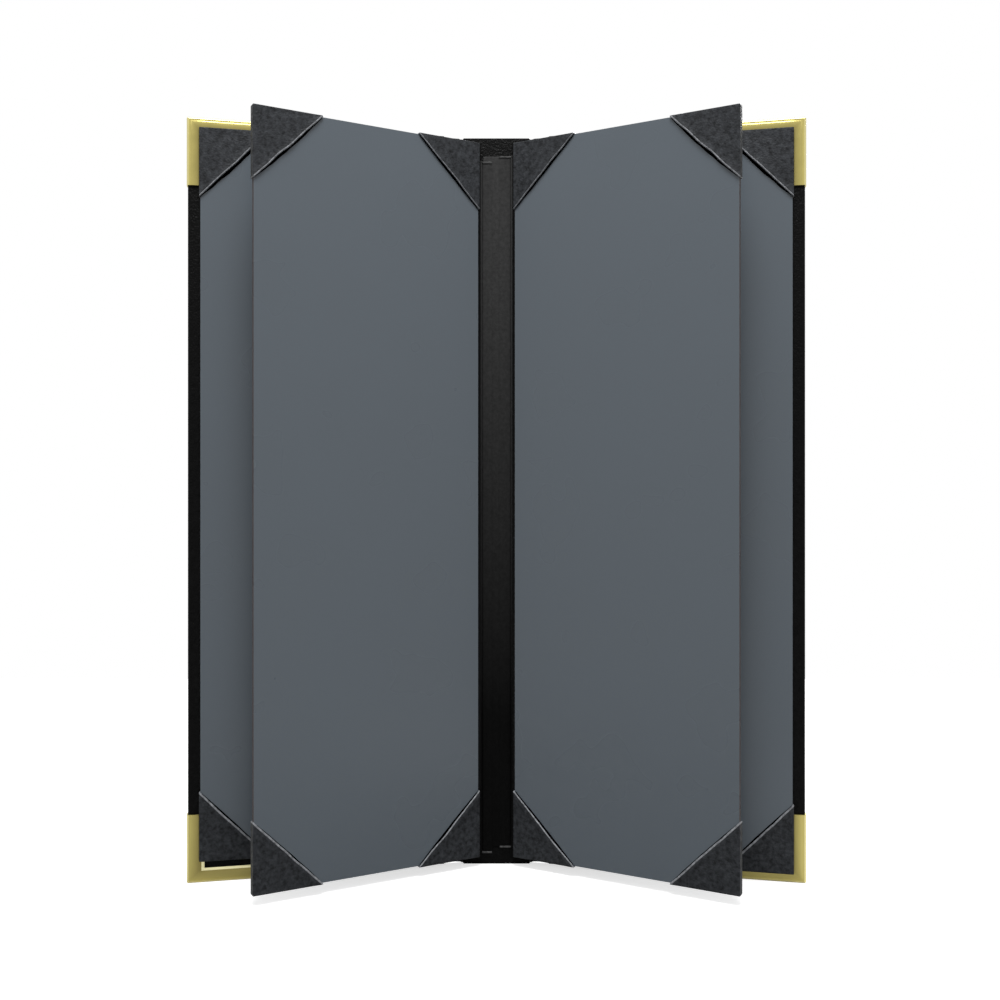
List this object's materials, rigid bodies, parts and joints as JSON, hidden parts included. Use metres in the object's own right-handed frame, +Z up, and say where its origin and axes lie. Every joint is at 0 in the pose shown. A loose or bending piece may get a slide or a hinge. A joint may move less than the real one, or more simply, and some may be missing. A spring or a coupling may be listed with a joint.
{
  "type": "menu cover",
  "caption": "Tall booklet menu cover with hinged double-sided leaves, corner pockets for menu sheets and metal corners, standing open on its lower edge.",
  "frame": {"origin": "on the floor under the middle of the bounding box, as the cover stands open", "axes": "+X across the open cover, from the left leaf to the right one, +Y from the reader to the back of the cover, +Z up along the spine"},
  "size_m": [0.3004, 0.0638, 0.37],
  "materials": {
    "leatherette": "black fine-grained leatherette, satin",
    "pocket_leatherette": "black-grey pebbled leatherette, satin",
    "hinge_cloth": "thin black leatherette, matt",
    "facing": "slate grey laminated paper, satin",
    "board": "brown-grey binder's board, matt",
    "gilt_metal": "bright pale gold plating"
  },
  "bodies": {
    "spine": {"left_hinge_flap": "hinge_cloth", "right_hinge_flap": "hinge_cloth", "spine_board": "board", "spine_lining": "leatherette", "spine_wrap": "leatherette"},
    "left_gutter": {"left_gutter_lining": "leatherette", "left_gutter_skin": "leatherette"},
    "left_cover": {"left_cover_board": "board", "left_cover_lining": "leatherette", "left_cover_wrap": "leatherette", "left_metal_corner_bottom": "gilt_metal", "left_metal_corner_top": "gilt_metal", "left_pad_board": "board", "left_pad_facing": "facing", "left_pad_pocket_bottom_inner": "pocket_leatherette", "left_pad_pocket_bottom_outer": "pocket_leatherette", "left_pad_pocket_top_inner": "pocket_leatherette", "left_pad_pocket_top_outer": "pocket_leatherette"},
    "left_leaf": {"left_leaf_back_facing": "facing", "left_leaf_core": "board", "left_leaf_front_facing": "facing", "left_leaf_hinge_edge": "hinge_cloth", "left_leaf_pocket_bottom_inner": "pocket_leatherette", "left_leaf_pocket_bottom_outer": "pocket_leatherette", "left_leaf_pocket_top_inner": "pocket_leatherette", "left_leaf_pocket_top_outer": "pocket_leatherette"},
    "right_gutter": {"right_gutter_lining": "leatherette", "right_gutter_skin": "leatherette"},
    "right_cover": {"right_cover_board": "board", "right_cover_lining": "leatherette", "right_cover_wrap": "leatherette", "right_metal_corner_bottom": "gilt_metal", "right_metal_corner_top": "gilt_metal", "right_pad_board": "board", "right_pad_facing": "facing", "right_pad_pocket_bottom_inner": "pocket_leatherette", "right_pad_pocket_bottom_outer": "pocket_leatherette", "right_pad_pocket_top_inner": "pocket_leatherette", "right_pad_pocket_top_outer": "pocket_leatherette"},
    "right_leaf": {"right_leaf_back_facing": "facing", "right_leaf_core": "board", "right_leaf_front_facing": "facing", "right_leaf_hinge_edge": "hinge_cloth", "right_leaf_pocket_bottom_inner": "pocket_leatherette", "right_leaf_pocket_bottom_outer": "pocket_leatherette", "right_leaf_pocket_top_inner": "pocket_leatherette", "right_leaf_pocket_top_outer": "pocket_leatherette"}
  },
  "joints": [
    {"name": "left_leaf_turn", "type": "hinge", "parent": "spine", "child": "left_leaf", "pos_m": [-0.0076, 0.0263, 0.185], "axis": [0, 0, 1], "range_deg": [-9.48, 61.6]},
    {"name": "left_gutter_fold", "type": "hinge", "parent": "spine", "child": "left_gutter", "pos_m": [-0.0185, 0.0313, 0.185], "axis": [0, 0, 1], "range_deg": [-12.03, 78.02]},
    {"name": "left_cover_fold", "type": "hinge", "parent": "left_gutter", "child": "left_cover", "pos_m": [-0.02535, 0.02984, 0.185], "axis": [0, 0, 1], "range_deg": [-90, 0]},
    {"name": "right_leaf_turn", "type": "hinge", "parent": "spine", "child": "right_leaf", "pos_m": [0.0076, 0.0263, 0.185], "axis": [0, 0, -1], "range_deg": [-9.48, 61.6]},
    {"name": "right_gutter_fold", "type": "hinge", "parent": "spine", "child": "right_gutter", "pos_m": [0.0185, 0.0313, 0.185], "axis": [0, 0, -1], "range_deg": [-12.03, 78.02]},
    {"name": "right_cover_fold", "type": "hinge", "parent": "right_gutter", "child": "right_cover", "pos_m": [0.02535, 0.02984, 0.185], "axis": [0, 0, -1], "range_deg": [-90, 0]}
  ],
  "couplings": [
    {"joint": "left_gutter_fold", "follows": "left_leaf_turn", "ratio": 1.2662},
    {"joint": "right_gutter_fold", "follows": "right_leaf_turn", "ratio": 1.2662}
  ]
}
